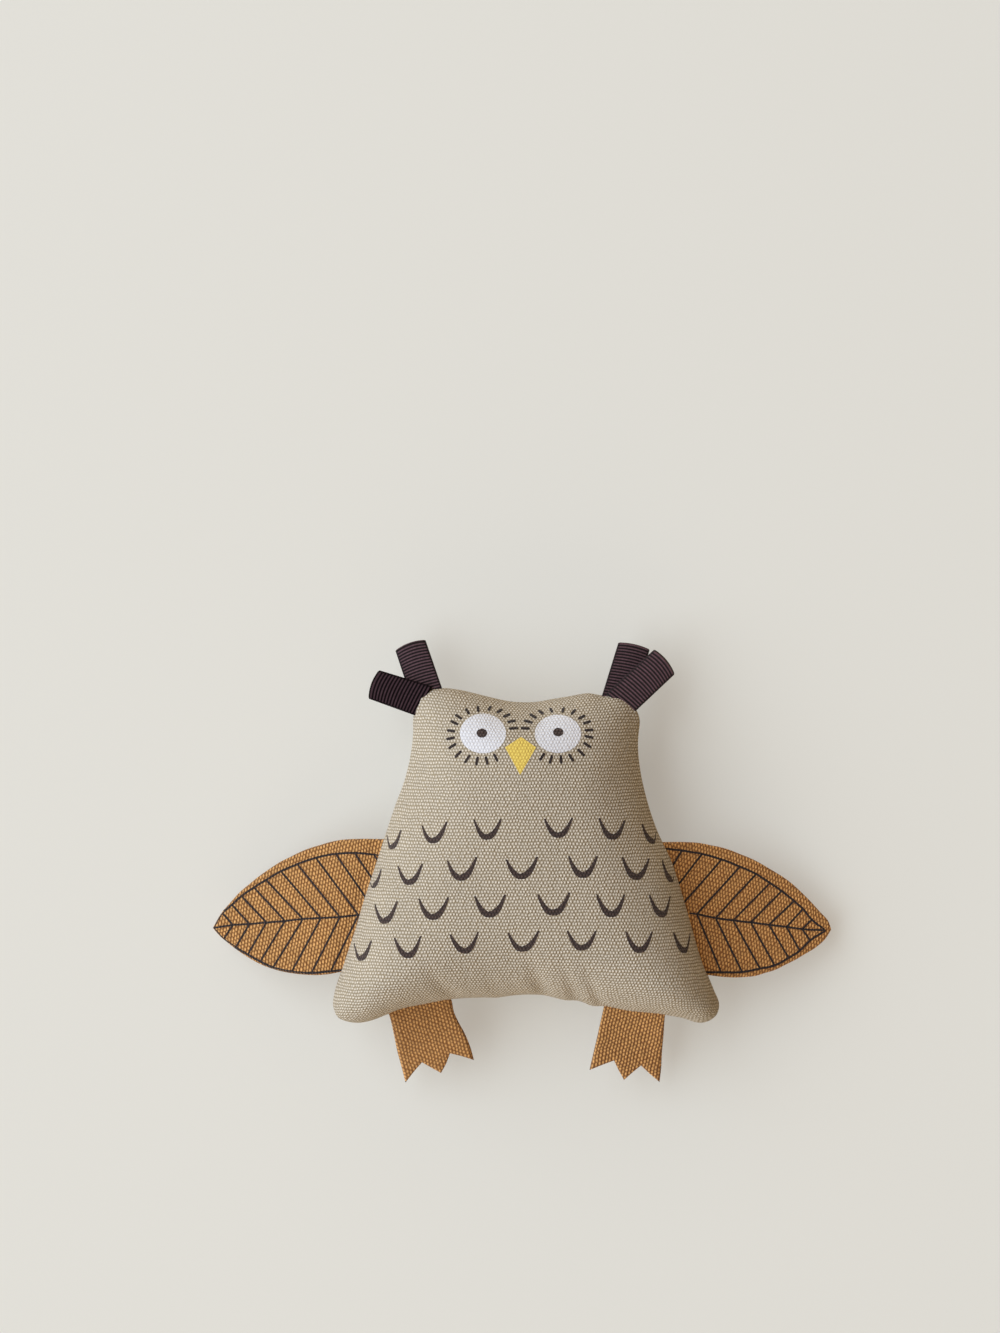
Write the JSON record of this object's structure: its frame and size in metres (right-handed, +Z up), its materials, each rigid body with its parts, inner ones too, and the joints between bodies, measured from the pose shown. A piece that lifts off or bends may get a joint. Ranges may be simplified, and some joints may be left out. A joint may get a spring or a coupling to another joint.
{
  "type": "plush owl",
  "caption": "Flat stuffed canvas owl with leaf-shaped wings, clawed feet and folded ribbon tufts sewn into its edge, lying on its back.",
  "frame": {"origin": "on the table under the middle of the body, on the flat patch where the back rests", "axes": "+X to the viewer's right from wing to wing, +Y towards the head, +Z up out of the belly"},
  "size_m": [0.1955, 0.1383, 0.0435],
  "materials": {
    "canvas_natural": "undyed natural cotton canvas, coarse plain weave, matt, printed front",
    "filling": "white polyester fibre",
    "thread": "matt natural sewing thread",
    "canvas_ochre": "ochre brown cotton canvas, coarse plain weave, matt, printed veins on the wings",
    "grosgrain": "dark plum grosgrain ribbon, ribbed, soft sheen"
  },
  "bodies": {
    "owl_body": {"body_front_panel": "canvas_natural", "body_back_panel": "canvas_natural", "stuffing": "filling", "seam_thread": "thread", "closing_stitch": "thread"},
    "left_wing": {"left_wing_front": "canvas_ochre", "left_wing_back": "canvas_ochre", "left_wing_thread": "thread"},
    "right_wing": {"right_wing_front": "canvas_ochre", "right_wing_back": "canvas_ochre", "right_wing_thread": "thread"},
    "left_foot": {"left_foot_front": "canvas_ochre", "left_foot_back": "canvas_ochre"},
    "right_foot": {"right_foot_front": "canvas_ochre", "right_foot_back": "canvas_ochre"},
    "left_ribbon_inner": {"left_ribbon_inner": "grosgrain"},
    "left_ribbon_outer": {"left_ribbon_outer": "grosgrain"},
    "right_ribbon_inner": {"right_ribbon_inner": "grosgrain"},
    "right_ribbon_outer": {"right_ribbon_outer": "grosgrain"}
  },
  "joints": [
    {"name": "left_wing_fold", "type": "hinge", "parent": "owl_body", "child": "left_wing", "pos_m": [-0.05215, -0.01499, 0.0195], "axis": [0.3046, 0.9525, 0], "range_deg": [-72, 108], "stiffness_Nm_per_rad": 0.004},
    {"name": "right_wing_fold", "type": "hinge", "parent": "owl_body", "child": "right_wing", "pos_m": [0.05129, -0.01477, 0.0195], "axis": [0.3348, -0.9423, 0], "range_deg": [-72, 108], "stiffness_Nm_per_rad": 0.004},
    {"name": "left_foot_fold", "type": "hinge", "parent": "owl_body", "child": "left_foot", "pos_m": [-0.03253, -0.04835, 0.0195], "axis": [-0.9717, -0.2364, 0], "range_deg": [-70, 110], "stiffness_Nm_per_rad": 0.003},
    {"name": "right_foot_fold", "type": "hinge", "parent": "owl_body", "child": "right_foot", "pos_m": [0.03258, -0.04967, 0.0195], "axis": [-0.9812, 0.193, 0], "range_deg": [-70, 110], "stiffness_Nm_per_rad": 0.003},
    {"name": "left_ribbon_inner_fold", "type": "hinge", "parent": "owl_body", "child": "left_ribbon_inner", "pos_m": [-0.0312, 0.05244, 0.0179], "axis": [0.9537, 0.3007, 0], "range_deg": [-60, 0], "stiffness_Nm_per_rad": 0.0006},
    {"name": "right_ribbon_inner_fold", "type": "hinge", "parent": "owl_body", "child": "right_ribbon_inner", "pos_m": [0.03, 0.05144, 0.0179], "axis": [0.9613, -0.2756, 0], "range_deg": [-60, 0], "stiffness_Nm_per_rad": 0.0006},
    {"name": "left_ribbon_outer_fold", "type": "hinge", "parent": "owl_body", "child": "left_ribbon_outer", "pos_m": [-0.03416, 0.04921, 0.0211], "axis": [0.3256, 0.9455, 0], "range_deg": [0, 90], "stiffness_Nm_per_rad": 0.0006},
    {"name": "right_ribbon_outer_fold", "type": "hinge", "parent": "owl_body", "child": "right_ribbon_outer", "pos_m": [0.03295, 0.05087, 0.0211], "axis": [0.6756, -0.7373, 0], "range_deg": [0, 90], "stiffness_Nm_per_rad": 0.0006}
  ]
}
